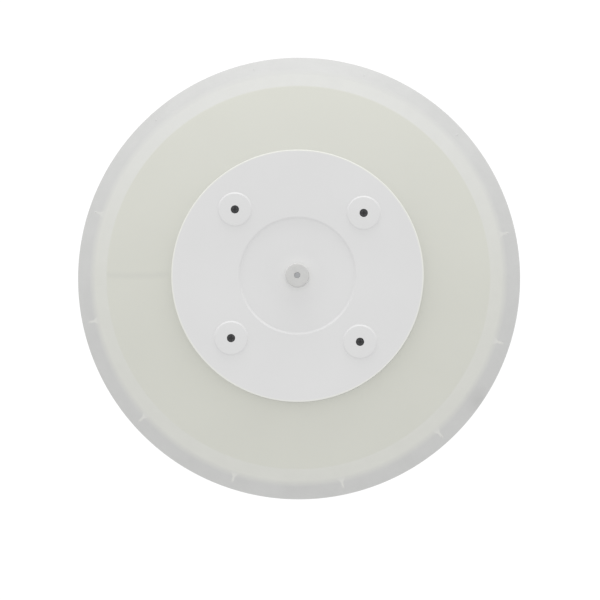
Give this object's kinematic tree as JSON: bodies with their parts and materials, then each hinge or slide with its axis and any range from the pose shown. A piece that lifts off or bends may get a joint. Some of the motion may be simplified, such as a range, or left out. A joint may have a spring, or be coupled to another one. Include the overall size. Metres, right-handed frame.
{
  "type": "heat detector",
  "caption": "Low-profile round heat detector head with raised centre cap and fusible heat collector, twist-locked on a slotted ceiling base.",
  "frame": {"origin": "centre of the base's ceiling face, at the middle of the cable entry", "axes": "+Z out of the ceiling face towards the sensing face; +X along the line of the two slots; +Y completes the right-handed frame, up as seen from the front"},
  "size_m": [0.12, 0.12, 0.0314],
  "materials": {
    "base_plastic": "fine moulded texture, neutral white",
    "face_plastic": "satin moulded, pale yellow-green white",
    "cap_plastic": "satin moulded, clean white",
    "phenolic": "dark brown-black moulding compound",
    "rubber": "matt black rubber",
    "brass": "stamped brass strip, lightly tarnished",
    "spring_bronze": "thin rolled bronze sheet",
    "zinc_steel": "dull zinc-plated steel",
    "black_steel": "black-oxide steel",
    "collector_metal": "fine blasted aluminium",
    "aluminium": "turned aluminium",
    "solder": "dull fusible alloy",
    "silver": "silver contact"
  },
  "bodies": {
    "base": {"mounting_base": "base_plastic", "base_terminals": "brass", "clamp_washers": "zinc_steel", "terminal_screws": "zinc_steel"},
    "head": {"detector_body": "face_plastic", "centre_cap": "cap_plastic", "cap_seal": "rubber", "cap_screws": "black_steel", "heat_collector": "collector_metal", "collector_nut": "brass", "fusible_alloy": "solder", "release_spring": "zinc_steel", "plunger_guide": "brass", "chamber_plate": "phenolic", "chamber_seal": "rubber", "clamp_ring": "aluminium", "clamp_ring_screws": "zinc_steel", "breather_vent": "spring_bronze", "leaf_block": "phenolic", "leaf_screws": "zinc_steel", "leaf_strip": "brass", "contact_bracket": "brass", "bracket_screw": "zinc_steel", "adjusting_screw": "brass", "rear_cover": "phenolic", "rear_cover_screws": "zinc_steel", "contact_tabs": "brass", "tab_rivets": "zinc_steel"},
    "plunger": {"release_plunger": "zinc_steel"},
    "diaphragm_centre": {"diaphragm": "spring_bronze", "diaphragm_button": "phenolic"},
    "leaf": {"contact_leaf": "spring_bronze", "leaf_contact": "silver"}
  },
  "joints": [
    {"name": "head_twist", "type": "hinge", "parent": "base", "child": "head", "pos_m": [0, 0, 0.0065], "axis": [0, 0, 1], "range_deg": [0, 25]},
    {"name": "plunger_release", "type": "slide", "parent": "head", "child": "plunger", "axis": [0, 0, -1], "range_m": [0, 0.003], "deforming": ["release_spring"]},
    {"name": "diaphragm_stroke", "type": "slide", "parent": "head", "child": "diaphragm_centre", "axis": [0, 0, -1], "range_m": [0, 0.0007], "stiffness_N_per_m": 60, "springref_m": -0.001, "deforming": ["diaphragm"]},
    {"name": "leaf_flex", "type": "hinge", "parent": "head", "child": "leaf", "pos_m": [-0.011, 0, 0.01337], "axis": [0, 1, 0], "range_deg": [0, 3.7]}
  ],
  "couplings": [
    {"joint": "leaf_flex", "follows": "diaphragm_stroke", "rad_per_m": 90.909}
  ]
}
